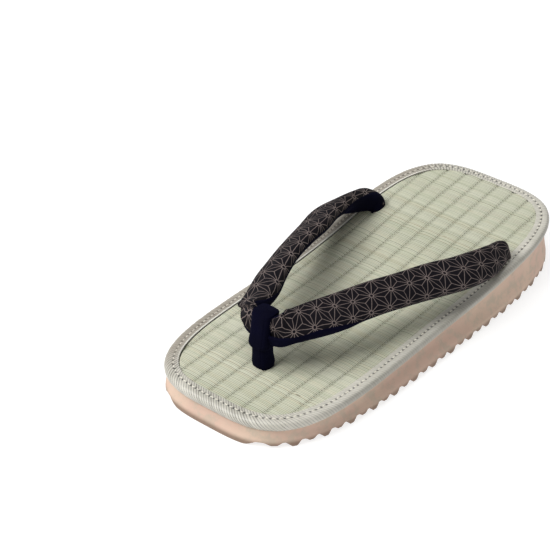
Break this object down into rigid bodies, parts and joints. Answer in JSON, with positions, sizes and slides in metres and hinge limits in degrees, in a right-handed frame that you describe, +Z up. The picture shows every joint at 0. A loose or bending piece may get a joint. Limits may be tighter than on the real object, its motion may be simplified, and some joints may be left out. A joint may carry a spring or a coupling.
{
  "type": "zori sandal",
  "caption": "Flat-soled wedge sandal with a rush mat, a ribbon edge and two padded straps that meet at a toe loop.",
  "frame": {"origin": "middle of the sandal's box, at the level of its rib tips", "axes": "+Z up, toe towards -Y, heel towards +Y, X across the sandal"},
  "size_m": [0.1144, 0.2593, 0.0489],
  "materials": {
    "foam": "matte pinkish beige foam rubber",
    "rush": "woven pale green rush with a faint sheen",
    "ribbon": "ribbed silvery beige ribbon with a satin sheen",
    "printed_cloth": "near-black cotton with a pale hemp-leaf print",
    "velvet": "dark navy velvet"
  },
  "bodies": {
    "root": {"sole": "foam", "tatami_mat": "rush", "edge_binding": "ribbon", "strap_upper": "printed_cloth", "toe_loop": "velvet"}
  },
  "joints": []
}
